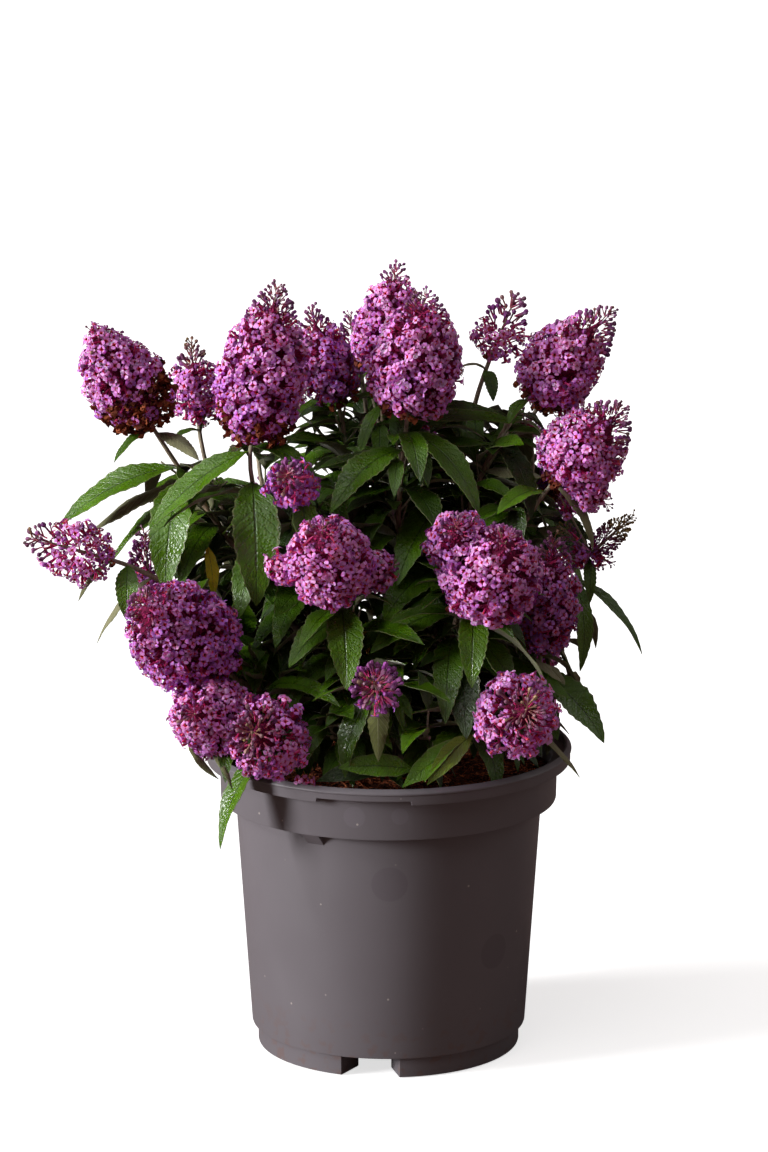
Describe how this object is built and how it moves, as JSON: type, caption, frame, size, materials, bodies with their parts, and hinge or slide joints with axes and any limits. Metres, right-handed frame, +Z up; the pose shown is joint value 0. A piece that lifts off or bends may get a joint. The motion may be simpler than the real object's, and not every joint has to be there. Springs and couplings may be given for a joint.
{
  "type": "potted butterfly bush",
  "caption": "Potted butterfly bush with drooping toothed leaves and tapering flower spikes, growing in a round plastic nursery pot with a collared rim and drain notches",
  "frame": {"origin": "The middle of the pot's flat underside.", "axes": "+Z points up along the trunk, -Y points to the front of the plant, +X to its right as seen from the front."},
  "size_m": [0.3751, 0.303, 0.4855],
  "materials": {
    "pot": "moulded polypropylene, warm grey, matte with a soft sheen",
    "substrate": "loose brown coir and bark compost",
    "bark": "thin grey-brown peeling bark",
    "foliage": "dark green leaves, felted beneath, with lilac-pink flower spikes"
  },
  "bodies": {
    "root": {"pot": "pot", "substrate": "substrate", "trunk": "bark", "bough_left_top": "bark", "bough_top_left": "bark", "bough_top_centre": "bark", "bough_top_right": "bark", "bough_right": "bark", "bough_left": "bark", "bough_left_low": "bark", "bough_front": "bark", "bough_right_front": "bark", "bough_right_low": "bark", "bough_front_low": "bark", "bough_back_left": "bark", "bough_back_centre": "bark", "bough_back_right": "bark", "bough_back_low": "bark", "foliage_left_top": "foliage", "foliage_top_left": "foliage", "foliage_top_centre": "foliage", "foliage_top_right": "foliage", "foliage_right": "foliage", "foliage_left": "foliage", "foliage_left_low": "foliage", "foliage_front": "foliage", "foliage_right_front": "foliage", "foliage_right_low": "foliage", "foliage_front_low": "foliage", "foliage_back_left": "foliage", "foliage_back_centre": "foliage", "foliage_back_right": "foliage", "foliage_back_low": "foliage"}
  },
  "joints": []
}
